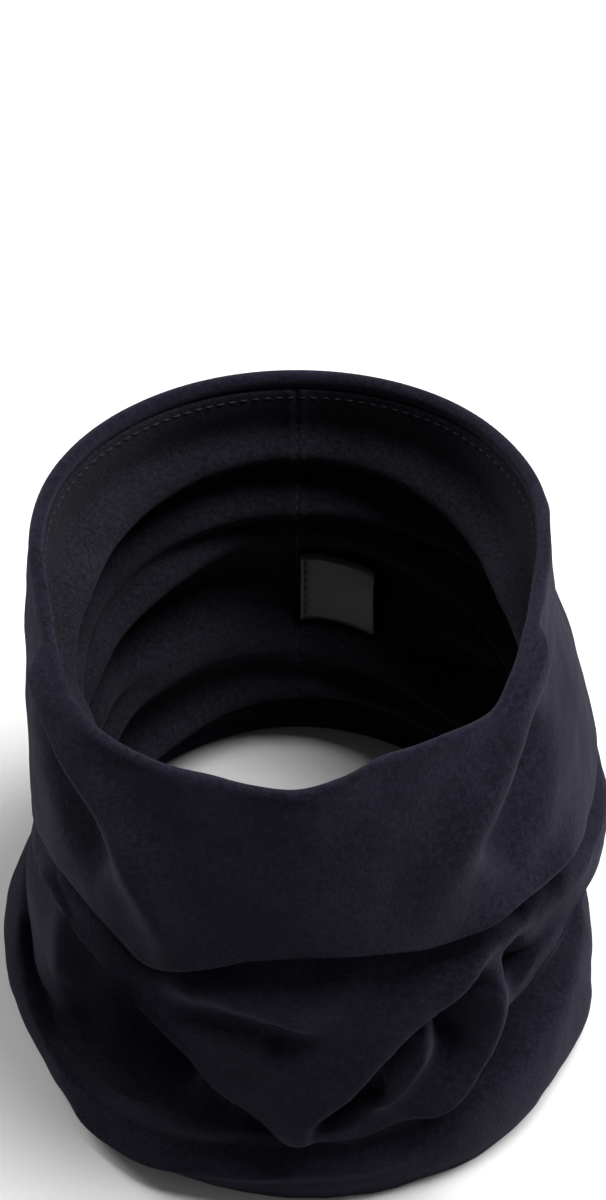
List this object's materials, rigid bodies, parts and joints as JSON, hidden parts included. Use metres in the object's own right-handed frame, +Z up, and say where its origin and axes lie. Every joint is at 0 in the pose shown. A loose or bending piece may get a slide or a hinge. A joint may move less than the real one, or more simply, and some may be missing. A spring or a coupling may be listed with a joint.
{
  "type": "neck gaiter",
  "caption": "Double-layer fleece neck gaiter as worn over the nose: smooth face panel, bunched folds under the chin and a soft roll at the neck.",
  "frame": {"origin": "on the floor under the middle of the tube", "axes": "+Z up along the tube, -Y the way the wearer looks, +X the wearer's left"},
  "size_m": [0.19, 0.2062, 0.179],
  "materials": {
    "shell_fleece": "brushed micro fleece, black with a faint violet cast",
    "lining_fleece": "brushed micro fleece, black",
    "thread": "matt polyester sewing thread, black",
    "label_satin": "blank woven satin, dark grey"
  },
  "bodies": {
    "root": {"outer_shell": "shell_fleece", "inner_lining": "lining_fleece", "top_edge_seam": "thread", "bottom_edge_seam": "thread", "shell_back_seam": "thread", "lining_back_seam": "thread", "care_label": "label_satin", "care_label_tack": "thread"}
  },
  "joints": []
}
